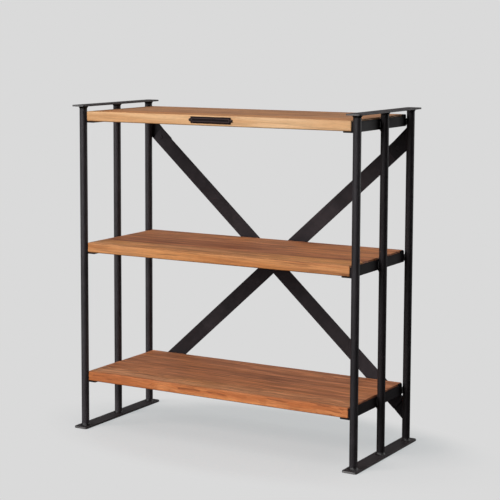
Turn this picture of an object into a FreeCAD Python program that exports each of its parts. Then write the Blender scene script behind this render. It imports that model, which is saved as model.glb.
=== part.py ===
"""Steel and timber bookcase: two welded end frames, three loose shelves and a rear X-brace.

Millimetres, +Z up, +X to the right seen from the front, and the front faces -Y.
The origin is on the floor, midway between the end frames and midway from front to back.
"""
import math
import os

import FreeCAD, Part

Vector = FreeCAD.Vector

# Overall layout
HEIGHT = 1090.0
POST_X = 500.0  # post axis, from the middle of the bookcase
POST_Y = {"front": -197.0, "middle": 0.0, "rear": 197.0}
SIDES = {"left": -1, "right": 1}

# Round posts: 25.4 mm tube
POST_R = 12.7
POST_WALL = 2.0

# Flat bar across the top and the foot of each end frame
PLATE_WIDTH = 50.0
PLATE_LENGTH = 460.0
FOOT_THICKNESS = 6.0
TOP_THICKNESS = 5.0
PLATE_CORNER_R = 9.0
PLATE_EDGE_R = 0.8

# Shelves
SHELF_TOPS = {"top": 1069.0, "middle": 631.0, "bottom": 195.0}
SHELF_THICKNESS = 33.0
SHELF_FRONT_Y = -202.5
SHELF_HALF_LENGTH = 482.5
STAVE_WIDTHS = {
    "top": (94.0, 112.0, 88.0, 106.0),
    "middle": (96.0, 98.0, 112.0, 94.0),
    "bottom": (86.0, 106.0, 98.0, 110.0),
}
STAVE_NAMES = ("front", "second", "third", "back")
SHELF_EDGE_R = 3.0

# Angle-iron brackets that carry the shelves
ANGLE_LEG = 32.0
ANGLE_THICKNESS = 4.0
ANGLE_TOE_R = 1.5
SEAT_GAP = 0.3  # under the shelf
BRACKET_OUTER_X = POST_X - POST_R
BRACKET_FRONT_Y = -201.5
BRACKET_REAR_Y = 189.0
TAB_LENGTH = 22.0  # the rear end stands up to the shelf's surface
TAB_CORNER_R = 7.0
TAB_RISE = 0.5

# Weld beads
RING_WIDTH = 5.0
RING_HEIGHT = 7.5
RING_THROAT = 0.36  # where the hollow face's middle stands, as a part of its width and height
UNDER_BEAD_SWEEP = 130.0
BEAD_START = 2.0  # distance from the line where bracket and post touch
BEAD_END = 9.0
BEAD_TOE = 10.5
BEAD_MARGIN = 3.0
END_BEAD_R = 5.0
END_BEAD_OUT = 1.0  # its axis, beyond the bracket's outer face
END_BEAD_BACK = 1.5  # its axis, behind the bracket's end

# Rear X-brace: 50 x 5 flat bar on gusset plates, in two layers behind the shelves
BRACE_FRONT_Y = 204.5
BAR_LAYER = {"falling": 0, "rising": 1}  # each gusset lies in the other layer
BAR_WIDTH = 50.0
BAR_THICKNESS = 5.0
BAR_HALF_LENGTH = 634.0
BRACE_HIGH_Z = 1002.0  # where each bar's centre line would meet the post axis
BRACE_LOW_Z = 92.0
GUSSET_LENGTH = 78.0
GUSSETS = {  # end frame, bar, widening at the post above and below, and the length over which it widens
    "upper_left": ("left", "falling", 5.0, 5.5, 32.0),
    "lower_left": ("left", "rising", 2.5, 5.0, 43.0),
    "upper_right": ("right", "rising", 5.0, 2.5, 43.0),
    "lower_right": ("right", "falling", 2.5, 5.0, 60.0),
}
GUSSET_PAST_AXIS = {"falling": 6.0, "rising": -4.7}  # where a gusset ends, beyond the post's axis
GUSSET_BEAD_HALF_LENGTH = 22.0
GUSSET_BEAD = {  # towards the middle from the post's axis: root, toe and post side; then the bead's depth
    "falling": (3.0, 14.0, 11.2, 6.5),
    "rising": (5.0, 16.5, 12.6, 5.9),
}

# M8 button-head bolts and hexagon nuts on the brace
BOLT_R = 4.0
BOLT_HOLE_R = 4.3
HEAD_R = 7.0
HEAD_HEIGHT = 3.5
HEAD_RIM = 0.8
SOCKET_AF = 5.0
SOCKET_DEPTH = 2.2
NUT_AF = 13.0
NUT_HEIGHT = 6.5
NUT_HOLE_R = 4.15
BOLT_TAIL = 2.0
BOLT_FROM_BAR_END = 22.0

# Blank nameplate on the top shelf's front edge
NAMEPLATE_CENTRE_X = -5.5
NAMEPLATE_CENTRE_Z = 1054.0
NAMEPLATE_BODY_LENGTH = 147.0
NAMEPLATE_HEIGHT = 21.5
NAMEPLATE_THICKNESS = 3.2
NAMEPLATE_RIM = 3.0
NAMEPLATE_GROOVE = 3.2  # width of the sunk band between the rim and the raised panel
NAMEPLATE_RECESS = 1.4
LUG_R = 4.8  # round lug at each end
LUG_REACH = 6.5  # beyond the body's end
PIN_R = 1.6
PIN_HEAD_R = 2.6
PIN_HEAD_HEIGHT = 1.2

TOLERANCE = 1e-6

BRACE_ANGLE = math.atan2(BRACE_HIGH_Z - BRACE_LOW_Z, 2 * POST_X)
BRACE_CENTRE_Z = (BRACE_HIGH_Z + BRACE_LOW_Z) / 2


def box(x0, x1, y0, y1, z0, z1):
    """Box between two corners, in any order along X."""
    low = Vector(min(x0, x1), y0, z0)
    return Part.makeBox(abs(x1 - x0), y1 - y0, z1 - z0, low)


def prism(points, direction):
    """Solid swept along direction from a closed outline."""
    outline = Part.makePolygon([Vector(*point) for point in points + points[:1]])
    return Part.Face(outline).extrude(Vector(*direction))


def edges_along(shape, axis):
    """Straight edges of a shape that run along one axis, 0 for X, 1 for Y, 2 for Z."""
    found = []
    for edge in shape.Edges:
        if len(edge.Vertexes) != 2:
            continue
        start, end = (vertex.Point for vertex in edge.Vertexes)
        step = end - start
        if abs(abs(step[axis]) - step.Length) < TOLERANCE:
            found.append(edge)
    return found


def hexagon_prism(across_flats, height, centre, bore_r=0.0):
    """Hexagonal prism along +Y from its front face's centre, with a bore if bore_r is given."""
    radius = across_flats / math.sqrt(3)
    points = []
    for k in range(6):
        angle = math.radians(60 * k)
        points.append((centre.x + radius * math.cos(angle), centre.y, centre.z + radius * math.sin(angle)))
    body = prism(points, (0, height, 0))
    if bore_r:
        body = body.cut(Part.makeCylinder(bore_r, height, centre, Vector(0, 1, 0)))
    return body


def post_rod(side, place):
    """Solid cylinder with a post's outer surface, over the full height."""
    return Part.makeCylinder(POST_R, HEIGHT, Vector(SIDES[side] * POST_X, POST_Y[place], 0))


def make_post(side, place):
    """Round tube from the foot plate's top to the top plate's underside."""
    length = HEIGHT - FOOT_THICKNESS - TOP_THICKNESS
    base = Vector(SIDES[side] * POST_X, POST_Y[place], FOOT_THICKNESS)
    return Part.makeCylinder(POST_R, length, base).cut(Part.makeCylinder(POST_R - POST_WALL, length, base))


def make_plate(side, z0, thickness):
    """Flat bar with rounded ends and softened edges."""
    centre_x = SIDES[side] * POST_X
    half_width = PLATE_WIDTH / 2
    half_length = PLATE_LENGTH / 2
    plate = box(centre_x - half_width, centre_x + half_width, -half_length, half_length, z0, z0 + thickness)
    plate = plate.makeFillet(PLATE_CORNER_R, edges_along(plate, 2))
    flats = [face for face in plate.Faces if abs(abs(face.normalAt(0, 0).z) - 1) < TOLERANCE]
    rims = [edge for face in flats for edge in face.Edges]
    return plate.makeFillet(PLATE_EDGE_R, rims)


def bracket_underside(level):
    return SHELF_TOPS[level] - SHELF_THICKNESS - SEAT_GAP - ANGLE_THICKNESS


def upright_leg(side, level):
    """Bracket's upright leg, with a round-cornered tab at its rear end."""
    s = SIDES[side]
    z0 = bracket_underside(level)
    top = z0 + ANGLE_LEG
    tab_top = SHELF_TOPS[level] + TAB_RISE
    tab_front_y = BRACKET_REAR_Y - TAB_LENGTH
    x = s * BRACKET_OUTER_X
    arc_centre = Vector(x, BRACKET_REAR_Y - TAB_CORNER_R, tab_top - TAB_CORNER_R)
    arc_reach = TAB_CORNER_R * math.sqrt(0.5)
    arc = Part.Arc(Vector(x, BRACKET_REAR_Y, tab_top - TAB_CORNER_R),
                   arc_centre + Vector(0, arc_reach, arc_reach),
                   Vector(x, BRACKET_REAR_Y - TAB_CORNER_R, tab_top))
    corners = [Vector(x, BRACKET_REAR_Y - TAB_CORNER_R, tab_top), Vector(x, tab_front_y, tab_top),
               Vector(x, tab_front_y, top), Vector(x, BRACKET_FRONT_Y, top), Vector(x, BRACKET_FRONT_Y, z0),
               Vector(x, BRACKET_REAR_Y, z0), Vector(x, BRACKET_REAR_Y, tab_top - TAB_CORNER_R)]
    outline = Part.Wire([arc.toShape()] + Part.makePolygon(corners).Edges)
    return Part.Face(outline).extrude(Vector(-s * ANGLE_THICKNESS, 0, 0))


def make_bracket(side, level):
    """Angle iron under a shelf's end, with a tab at the rear that stands up to the shelf's surface."""
    s = SIDES[side]
    z0 = bracket_underside(level)
    toe_x = s * (BRACKET_OUTER_X - ANGLE_LEG)
    flat_leg = box(toe_x, s * (BRACKET_OUTER_X - ANGLE_THICKNESS), BRACKET_FRONT_Y, BRACKET_REAR_Y,
                   z0, z0 + ANGLE_THICKNESS)
    toe_edges = [edge for edge in edges_along(flat_leg, 1)
                 if abs(edge.Vertexes[0].X - toe_x) < TOLERANCE and abs(edge.Vertexes[0].Z - z0) < TOLERANCE]
    flat_leg = flat_leg.makeFillet(ANGLE_TOE_R, toe_edges)
    return upright_leg(side, level).fuse(flat_leg).removeSplitter()


def weld_ring(side, place, z, up, sweep=360.0):
    """Hollow-faced fillet weld round a post, on a flat surface at height z.

    A sweep under 360 degrees leaves a bead centred on the post's inner side.
    """
    root = Vector(POST_R, 0, 0)
    toe = Vector(POST_R + RING_WIDTH, 0, 0)
    throat = Vector(POST_R + RING_THROAT * RING_WIDTH, 0, RING_THROAT * RING_HEIGHT)
    crown = Vector(POST_R, 0, RING_HEIGHT)
    outline = Part.makePolygon([root, toe, throat, crown, root])
    ring = Part.Face(outline).revolve(Vector(0, 0, 0), Vector(0, 0, 1), sweep)
    inner_side = 180.0 if side == "right" else 0.0
    ring.rotate(Vector(0, 0, 0), Vector(0, 0, 1), inner_side - sweep / 2)
    if not up:
        ring.rotate(Vector(0, 0, 0), Vector(1, 0, 0), 180)
    ring.translate(Vector(SIDES[side] * POST_X, POST_Y[place], z))
    return ring


def plate_welds(side, z, up):
    return [weld_ring(side, place, z, up) for place in POST_Y]


def side_bead(side, place, level, y_sign):
    """Vertical bead in the wedge between the bracket's upright leg and one side of a post."""
    s = SIDES[side]
    z0 = bracket_underside(level) + BEAD_MARGIN
    z1 = bracket_underside(level) + ANGLE_LEG - BEAD_MARGIN
    y = POST_Y[place]
    outline = [
        (s * BRACKET_OUTER_X, y + y_sign * BEAD_START, z0),
        (s * BRACKET_OUTER_X, y + y_sign * BEAD_TOE, z0),
        (s * (POST_X - POST_R / 2), y + y_sign * BEAD_END, z0),
    ]
    return prism(outline, (0, 0, z1 - z0)).cut(post_rod(side, place))


def rear_end_bead(side, level, bracket):
    """Round bead that joins the bracket's rear end to the rear post."""
    z0 = bracket_underside(level) + BEAD_MARGIN
    height = ANGLE_LEG - TAB_CORNER_R - BEAD_MARGIN
    axis = Vector(SIDES[side] * (BRACKET_OUTER_X + END_BEAD_OUT), BRACKET_REAR_Y + END_BEAD_BACK, z0)
    bead = Part.makeCylinder(END_BEAD_R, height, axis)
    return bead.cut(post_rod(side, "rear")).cut(bracket)


def under_bead(side, level):
    """Bead under the bracket, round the inner side of the middle post."""
    return weld_ring(side, "middle", bracket_underside(level), up=False, sweep=UNDER_BEAD_SWEEP)


def make_bracket_welds(side, brackets):
    beads = []
    for level in SHELF_TOPS:
        beads.append(side_bead(side, "front", level, 1))
        beads.append(side_bead(side, "middle", level, -1))
        beads.append(side_bead(side, "middle", level, 1))
        beads.append(rear_end_bead(side, level, brackets[level]))
        beads.append(under_bead(side, level))
    return beads


def brace_direction(bar):
    """Unit vector along a bar towards the right-hand end frame."""
    rise = 1 if bar == "rising" else -1
    return Vector(math.cos(BRACE_ANGLE), 0, rise * math.sin(BRACE_ANGLE))


def bar_point(bar, along, across, y):
    """Point on a bar's face: along from the crossing, across towards +Z."""
    u = brace_direction(bar)
    v = Vector(-u.z, 0, u.x)
    point = Vector(0, y, BRACE_CENTRE_Z) + u * along + v * across
    return (point.x, point.y, point.z)


def bolt_positions(bar):
    """Distances along a bar of its bolts: one at each end and one at the crossing."""
    end = BAR_HALF_LENGTH - BOLT_FROM_BAR_END
    return (-end, 0.0, end)


def drill(shape, bar, positions):
    """Bolt holes through a bar or a gusset, along Y."""
    for along in positions:
        start = Vector(*bar_point(bar, along, 0, BRACE_FRONT_Y))
        shape = shape.cut(Part.makeCylinder(BOLT_HOLE_R, 2 * BAR_THICKNESS, start, Vector(0, 1, 0)))
    return shape


def layer_front_y(layer):
    """Front face of a layer of the brace."""
    return BRACE_FRONT_Y + layer * BAR_THICKNESS


def gusset_front_y(bar):
    return layer_front_y(1 - BAR_LAYER[bar])


def make_bar(bar):
    """Straight flat bar across the back, with a bolt hole at each end and at the crossing."""
    y = layer_front_y(BAR_LAYER[bar])
    half = BAR_WIDTH / 2
    outline = [bar_point(bar, -BAR_HALF_LENGTH, -half, y), bar_point(bar, BAR_HALF_LENGTH, -half, y),
               bar_point(bar, BAR_HALF_LENGTH, half, y), bar_point(bar, -BAR_HALF_LENGTH, half, y)]
    return drill(prism(outline, (0, BAR_THICKNESS, 0)), bar, bolt_positions(bar))


def make_gusset(side, bar, flare_above, flare_below, flare_length):
    """Plate between a rear post and a bar's end, a little wider where it meets the post."""
    s = SIDES[side]
    y = gusset_front_y(bar)
    start = (POST_X - POST_R) / math.cos(BRACE_ANGLE)
    half = BAR_WIDTH / 2
    edge_x = s * (POST_X + GUSSET_PAST_AXIS[bar])
    slope = brace_direction(bar).z / brace_direction(bar).x

    def flared(sign, flare):
        """Corner of the gusset at the post, on the +Z or -Z side."""
        offset = (half + flare) / math.cos(BRACE_ANGLE)
        return (edge_x, y, BRACE_CENTRE_Z + edge_x * slope + sign * offset)

    kink = s * (start - flare_length)
    end = s * (start - GUSSET_LENGTH)
    outline = [flared(1, flare_above), bar_point(bar, kink, half, y), bar_point(bar, end, half, y),
               bar_point(bar, end, -half, y), bar_point(bar, kink, -half, y), flared(-1, flare_below)]
    plate = prism(outline, (0, BAR_THICKNESS, 0)).cut(post_rod(side, "rear"))
    return drill(plate, bar, [s * bolt_positions(bar)[2]])


def gusset_bead(side, bar):
    """Upright bead between a gusset's front face and the inner side of the rear post."""
    s = SIDES[side]
    y = gusset_front_y(bar)
    root, toe, post_side, depth = GUSSET_BEAD[bar]
    slope = brace_direction(bar).z / brace_direction(bar).x
    z0 = BRACE_CENTRE_Z + s * (POST_X - POST_R) * slope - GUSSET_BEAD_HALF_LENGTH
    outline = [(s * (POST_X - root), y, z0), (s * (POST_X - toe), y, z0),
               (s * (POST_X - post_side), y - depth, z0)]
    return prism(outline, (0, 0, 2 * GUSSET_BEAD_HALF_LENGTH)).cut(post_rod(side, "rear"))


def bolt_centres():
    """Centres of the brace's bolts, as (x, z): one at each gusset and one at the crossing."""
    centres = []
    for bar in BAR_LAYER:
        first, _, last = bolt_positions(bar)
        for along in (first, last):
            x, _, z = bar_point(bar, along, 0, 0)
            centres.append((x, z))
    centres.append((0.0, BRACE_CENTRE_Z))
    return centres


def button_head(x, z):
    """Low domed head with a hexagon socket, against the brace's front."""
    front = BRACE_FRONT_Y - HEAD_HEIGHT
    crown = HEAD_HEIGHT - HEAD_RIM
    dome_r = (HEAD_R ** 2 + crown ** 2) / (2 * crown)
    middle_sink = dome_r - math.sqrt(dome_r ** 2 - (HEAD_R / 2) ** 2)
    apex, middle, edge = Vector(0, 0, 0), Vector(HEAD_R / 2, middle_sink, 0), Vector(HEAD_R, crown, 0)
    corners = [edge, Vector(HEAD_R, HEAD_HEIGHT, 0), Vector(0, HEAD_HEIGHT, 0), apex]
    outline = Part.Wire([Part.Arc(apex, middle, edge).toShape()] + Part.makePolygon(corners).Edges)
    dome = Part.Face(outline).revolve(Vector(0, 0, 0), Vector(0, 1, 0), 360)
    dome.translate(Vector(x, front, z))
    return dome.cut(hexagon_prism(SOCKET_AF, SOCKET_DEPTH, Vector(x, front, z)))


def make_bolts():
    length = 2 * BAR_THICKNESS + NUT_HEIGHT + BOLT_TAIL
    bolts = []
    for x, z in bolt_centres():
        shank = Part.makeCylinder(BOLT_R, length, Vector(x, BRACE_FRONT_Y, z), Vector(0, 1, 0))
        bolts.append(button_head(x, z).fuse(shank))
    return bolts


def make_nuts():
    back = layer_front_y(2)
    return [hexagon_prism(NUT_AF, NUT_HEIGHT, Vector(x, back, z), NUT_HOLE_R) for x, z in bolt_centres()]


def make_stave(level, index):
    """One lengthwise stave of a glued-up shelf; the outer staves have eased long edges."""
    widths = STAVE_WIDTHS[level]
    y0 = SHELF_FRONT_Y + sum(widths[:index])
    y1 = y0 + widths[index]
    z1 = SHELF_TOPS[level]
    stave = box(-SHELF_HALF_LENGTH, SHELF_HALF_LENGTH, y0, y1, z1 - SHELF_THICKNESS, z1)
    shelf_edges = []
    for edge in edges_along(stave, 0):
        y = edge.Vertexes[0].Point.y
        at_front = index == 0 and abs(y - y0) < TOLERANCE
        at_back = index == len(widths) - 1 and abs(y - y1) < TOLERANCE
        if at_front or at_back:
            shelf_edges.append(edge)
    return stave.makeFillet(SHELF_EDGE_R, shelf_edges) if shelf_edges else stave


def pin_positions():
    """Centres of the nameplate's lugs, as (x, z)."""
    reach = NAMEPLATE_BODY_LENGTH / 2 + LUG_REACH - LUG_R
    return [(NAMEPLATE_CENTRE_X + sign * reach, NAMEPLATE_CENTRE_Z) for sign in (-1, 1)]


def nameplate_slab(inset, y0, y1):
    """Slab as large as the nameplate's body less an inset all round."""
    half_length = NAMEPLATE_BODY_LENGTH / 2 - inset
    half_height = NAMEPLATE_HEIGHT / 2 - inset
    return box(NAMEPLATE_CENTRE_X - half_length, NAMEPLATE_CENTRE_X + half_length, y0, y1,
               NAMEPLATE_CENTRE_Z - half_height, NAMEPLATE_CENTRE_Z + half_height)


def make_nameplate():
    """Blank cast plate with a raised rim, a raised panel and a pinned lug at each end."""
    front = SHELF_FRONT_Y - NAMEPLATE_THICKNESS
    plate = nameplate_slab(0, front, SHELF_FRONT_Y)
    for x, z in pin_positions():
        lug = Part.makeCylinder(LUG_R, NAMEPLATE_THICKNESS, Vector(x, front, z), Vector(0, 1, 0))
        plate = plate.fuse(lug)
    floor = front + NAMEPLATE_RECESS
    groove = nameplate_slab(NAMEPLATE_RIM, front, floor)
    groove = groove.cut(nameplate_slab(NAMEPLATE_RIM + NAMEPLATE_GROOVE, front, floor))
    plate = plate.cut(groove)
    for x, z in pin_positions():
        hole = Part.makeCylinder(PIN_R, NAMEPLATE_THICKNESS, Vector(x, front, z), Vector(0, 1, 0))
        plate = plate.cut(hole)
    return plate.removeSplitter()


def make_pins():
    """Two round-headed pins; each stops at the shelf's face."""
    front = SHELF_FRONT_Y - NAMEPLATE_THICKNESS
    pins = []
    for x, z in pin_positions():
        head_front = Vector(x, front - PIN_HEAD_HEIGHT, z)
        head = Part.makeCylinder(PIN_HEAD_R, PIN_HEAD_HEIGHT, head_front, Vector(0, 1, 0))
        shank = Part.makeCylinder(PIN_R, NAMEPLATE_THICKNESS, Vector(x, front, z), Vector(0, 1, 0))
        pins.append(head.fuse(shank))
    return pins


def build():
    nodes = {}
    for side in SIDES:
        for place in POST_Y:
            nodes[f"{side}_{place}_post"] = make_post(side, place)
        nodes[f"{side}_foot_plate"] = make_plate(side, 0, FOOT_THICKNESS)
        nodes[f"{side}_top_plate"] = make_plate(side, HEIGHT - TOP_THICKNESS, TOP_THICKNESS)
        brackets = {level: make_bracket(side, level) for level in SHELF_TOPS}
        for level, bracket in brackets.items():
            nodes[f"{side}_{level}_bracket"] = bracket
        nodes[f"{side}_foot_welds"] = plate_welds(side, FOOT_THICKNESS, up=True)
        nodes[f"{side}_top_welds"] = plate_welds(side, HEIGHT - TOP_THICKNESS, up=False)
        nodes[f"{side}_bracket_welds"] = make_bracket_welds(side, brackets)
        nodes[f"{side}_gusset_welds"] = [gusset_bead(side, bar) for bar in BAR_LAYER]
    for bar in BAR_LAYER:
        nodes[f"{bar}_brace_bar"] = make_bar(bar)
    for place, shape in GUSSETS.items():
        nodes[f"{place}_gusset"] = make_gusset(*shape)
    nodes["brace_bolts"] = make_bolts()
    nodes["brace_nuts"] = make_nuts()
    for level in SHELF_TOPS:
        for index, name in enumerate(STAVE_NAMES):
            nodes[f"{level}_shelf_{name}_stave"] = make_stave(level, index)
    nodes["nameplate"] = make_nameplate()
    nodes["nameplate_pins"] = make_pins()
    return nodes


def main():
    os.makedirs("parts", exist_ok=True)
    for name, shape in build().items():
        solid = Part.makeCompound(shape) if isinstance(shape, list) else shape
        solid.exportStep(f"parts/{name}.step")


main()
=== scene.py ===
"""Looks of the steel and timber bookcase: boards, steel, welds, bolts, nameplate, studio and camera.

Metres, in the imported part's frame: +Z up, +X to the right seen from the front, the front faces -Y.
"""

import math

import bpy
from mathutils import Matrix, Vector, noise


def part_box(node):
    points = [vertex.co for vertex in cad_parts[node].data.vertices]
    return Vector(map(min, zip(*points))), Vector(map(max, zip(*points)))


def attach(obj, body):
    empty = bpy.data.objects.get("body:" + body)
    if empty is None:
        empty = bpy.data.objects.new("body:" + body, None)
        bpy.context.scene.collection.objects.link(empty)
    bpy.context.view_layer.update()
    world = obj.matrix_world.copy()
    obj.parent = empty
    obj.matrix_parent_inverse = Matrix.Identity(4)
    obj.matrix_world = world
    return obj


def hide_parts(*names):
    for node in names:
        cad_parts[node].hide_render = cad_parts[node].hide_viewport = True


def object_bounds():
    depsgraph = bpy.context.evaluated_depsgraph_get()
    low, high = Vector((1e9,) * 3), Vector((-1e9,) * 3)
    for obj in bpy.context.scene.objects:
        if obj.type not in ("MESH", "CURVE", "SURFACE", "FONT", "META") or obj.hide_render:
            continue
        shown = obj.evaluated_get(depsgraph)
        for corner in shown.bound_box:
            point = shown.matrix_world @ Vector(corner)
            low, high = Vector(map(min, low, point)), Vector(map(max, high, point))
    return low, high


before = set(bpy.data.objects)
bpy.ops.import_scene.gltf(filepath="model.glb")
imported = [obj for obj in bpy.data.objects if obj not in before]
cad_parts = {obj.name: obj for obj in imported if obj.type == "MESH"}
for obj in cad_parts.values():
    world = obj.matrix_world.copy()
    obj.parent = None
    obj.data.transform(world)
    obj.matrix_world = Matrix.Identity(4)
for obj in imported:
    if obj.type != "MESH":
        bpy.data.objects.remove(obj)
cad_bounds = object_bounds()

MM = 0.001
SIDES = {"left": -1, "right": 1}
PLACES = ("front", "middle", "rear")
LEVELS = ("top", "middle", "bottom")
STAVES = ("front", "second", "third", "back")
BARS = ("falling", "rising")


# ---------------------------------------------------------------- meshes

def add_piece(name, verts, faces, material, body, nodes, smooth_angle=40.0):
    """A mesh piece that stands for CAD nodes and rides on their body."""
    mesh = bpy.data.meshes.new(name)
    mesh.from_pydata([tuple(v) for v in verts], [], faces)
    mesh.validate()
    mesh.shade_smooth()
    mesh.set_sharp_from_angle(angle=math.radians(smooth_angle))
    mesh.materials.append(material)
    piece = bpy.data.objects.new(name, mesh)
    bpy.context.scene.collection.objects.link(piece)
    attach(piece, body)
    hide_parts(*nodes)
    return piece


class Part:
    """Vertices and faces gathered from several closed shells."""

    def __init__(self):
        self.verts = []
        self.faces = []

    def loft(self, rings, caps=True):
        """Quads between closed rings of equal length, with a face over each end ring."""
        first = len(self.verts)
        count = len(rings[0])
        for ring in rings:
            self.verts.extend(ring)
        for i in range(len(rings) - 1):
            for j in range(count):
                a = first + i * count + j
                b = first + i * count + (j + 1) % count
                self.faces.append((a, b, b + count, a + count))
        if caps:
            self.faces.append(tuple(first + j for j in reversed(range(count))))
            last = first + (len(rings) - 1) * count
            self.faces.append(tuple(last + j for j in range(count)))


def wander(x, seed, wavelength):
    """Smooth value from -1 to 1 along x."""
    return noise.noise(Vector((x / wavelength, 7.31 * seed, 1.7 * seed)))


def box_of(node):
    low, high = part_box(node)
    return Vector(low), Vector(high)


# ---------------------------------------------------------------- boards

BOARD_STATIONS = 150
EASE_R = 2.9 * MM
JOINT_R = 0.35 * MM
CORNER_STEPS = 4
ACROSS_STEPS = 8  # along a stave's top and bottom, between its corners
UPRIGHT_STEPS = 5  # along its front and back
NICK_COUNT = 7
PLANE_WAVE = 0.22 * MM  # how far a planed face sinks below flat
EDGE_WEAR = 0.7 * MM
END_STATIONS = (0.0, 0.5 * MM, 1.6 * MM, 4 * MM)  # distances from a saw-cut end
END_SHRINK = 1.1 * MM
RAGGED_LEFT = 1.3
RAGGED_RIGHT = 0.5


def nicks(seed, low_x, high_x):
    """Small dents along an edge, as (centre, width, depth)."""
    found = []
    for k in range(NICK_COUNT):
        u = 0.5 + 0.5 * noise.noise(Vector((3.7 * k + 0.4, 11.3 * seed, 0.5)))
        spread = (k + u) / NICK_COUNT
        width = (4 + 9 * abs(noise.noise(Vector((k, seed, 4.4))))) * MM
        depth = (0.3 + 1.3 * abs(noise.noise(Vector((k, 2.1 * seed, 8.8))))) * MM
        found.append((low_x + spread * (high_x - low_x), width, depth))
    return found


def dent(x, marks):
    return sum(depth * math.exp(-((x - centre) / width) ** 2) for centre, width, depth in marks)


def corner(centre_y, centre_z, radius, start):
    """Quarter round from an angle in degrees, as (y, z) points."""
    points = []
    for k in range(CORNER_STEPS + 1):
        angle = math.radians(start + 90 * k / CORNER_STEPS)
        points.append((centre_y + radius * math.cos(angle), centre_z + radius * math.sin(angle)))
    return points


def between(a, b, steps):
    """Points strictly between two (y, z) points."""
    return [(a[0] + (b[0] - a[0]) * k / steps, a[1] + (b[1] - a[1]) * k / steps) for k in range(1, steps)]


def board_section(x, low, high, radii, shrink, seed):
    """Closed cross-section of a stave at x, as vertices.

    radii are for the front-bottom, back-bottom, back-top and front-top edges.
    """
    y0, y1 = low.y + shrink, high.y - shrink
    z0, z1 = low.z + shrink, high.z - shrink
    front_bottom, back_bottom, back_top, front_top = radii
    corners = [
        corner(y0 + front_bottom, z0 + front_bottom, front_bottom, 180),
        corner(y1 - back_bottom, z0 + back_bottom, back_bottom, 270),
        corner(y1 - back_top, z1 - back_top, back_top, 0),
        corner(y0 + front_top, z1 - front_top, front_top, 90),
    ]
    points = []
    for k, arc in enumerate(corners):
        points.extend(arc)
        following = corners[(k + 1) % 4]
        points.extend(between(arc[-1], following[0], UPRIGHT_STEPS if k % 2 else ACROSS_STEPS))
    ring = []
    middle_y, middle_z = (y0 + y1) / 2, (z0 + z1) / 2
    for y, z in points:
        wave = 0.5 + 0.5 * noise.noise(Vector((x * 9, y * 30 + seed, z * 30)))
        sink = PLANE_WAVE * wave
        y += sink if y < middle_y else 0
        z += sink if z < middle_z else -sink
        ring.append(Vector((x, y, z)))
    return ring


def build_board(node, seed, eased_front, eased_back, material, body):
    """One stave, with worn long edges, small dents and slightly ragged saw-cut ends."""
    low, high = box_of(node)
    top_marks = nicks(seed, low.x, high.x)
    bottom_marks = nicks(seed + 40, low.x, high.x)
    frayed, plain = END_STATIONS[-2:]
    inner = [low.x + plain + (high.x - low.x - 2 * plain) * k / BOARD_STATIONS
             for k in range(1, BOARD_STATIONS)]
    stations = [low.x + e for e in END_STATIONS] + inner + [high.x - e for e in reversed(END_STATIONS)]
    rings = []
    for x in stations:
        to_end = min(x - low.x, high.x - x)
        shrink = END_SHRINK * (1 - min(to_end / frayed, 1)) ** 2
        worn_top = EASE_R + EDGE_WEAR * wander(x, seed, 0.09) + dent(x, top_marks)
        worn_bottom = EASE_R + EDGE_WEAR * wander(x, seed + 9, 0.08) + dent(x, bottom_marks)
        radii = (
            worn_bottom if eased_front else JOINT_R,
            worn_bottom if eased_back else JOINT_R,
            worn_top if eased_back else JOINT_R,
            worn_top if eased_front else JOINT_R,
        )
        ring = board_section(x, low, high, radii, shrink, seed)
        if to_end < frayed + 1e-6:
            inward = 1 if x < 0 else -1
            ragged = RAGGED_LEFT if x < 0 else RAGGED_RIGHT
            for v in ring:
                rough = 0.5 + 0.5 * noise.noise(Vector((seed, v.y * 70, v.z * 90)))
                v.x += inward * ragged * MM * rough * (1 - 0.5 * to_end / frayed)
        rings.append(ring)
    part = Part()
    part.loft(rings)
    return add_piece(node + "_board", part.verts, part.faces, material, body, [node], 32.0)


# ---------------------------------------------------------------- welds

def half_width(node):
    low, high = box_of(node)
    return (high.x - low.x) / 2


POST_R = half_width("left_front_post")
ANGLE_LEG = 32.0 * MM
RIPPLE = 0.3 * MM
RIPPLE_PITCH = 2.1 * MM
RING_WIDTH = 5.0 * MM
RING_HEIGHT = 7.5 * MM
RING_BITE = 0.4 * MM  # how far the ring's root goes into the post
RING_HOLLOW = 0.36  # where the middle of its face is drawn in to
RING_STEPS = 96
PROFILE_STEPS = 6
BEAD_STEP = 0.5 * MM
BEAD_TAPER = 3 * MM
BEAD_RIPPLE = 0.35 * MM
END_BEAD_R = 5 * MM
END_BEAD_TAPER_STEPS = 7
BEAD_MARGIN = 3 * MM
UNDER_BEAD_SWEEP = 130  # degrees


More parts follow.
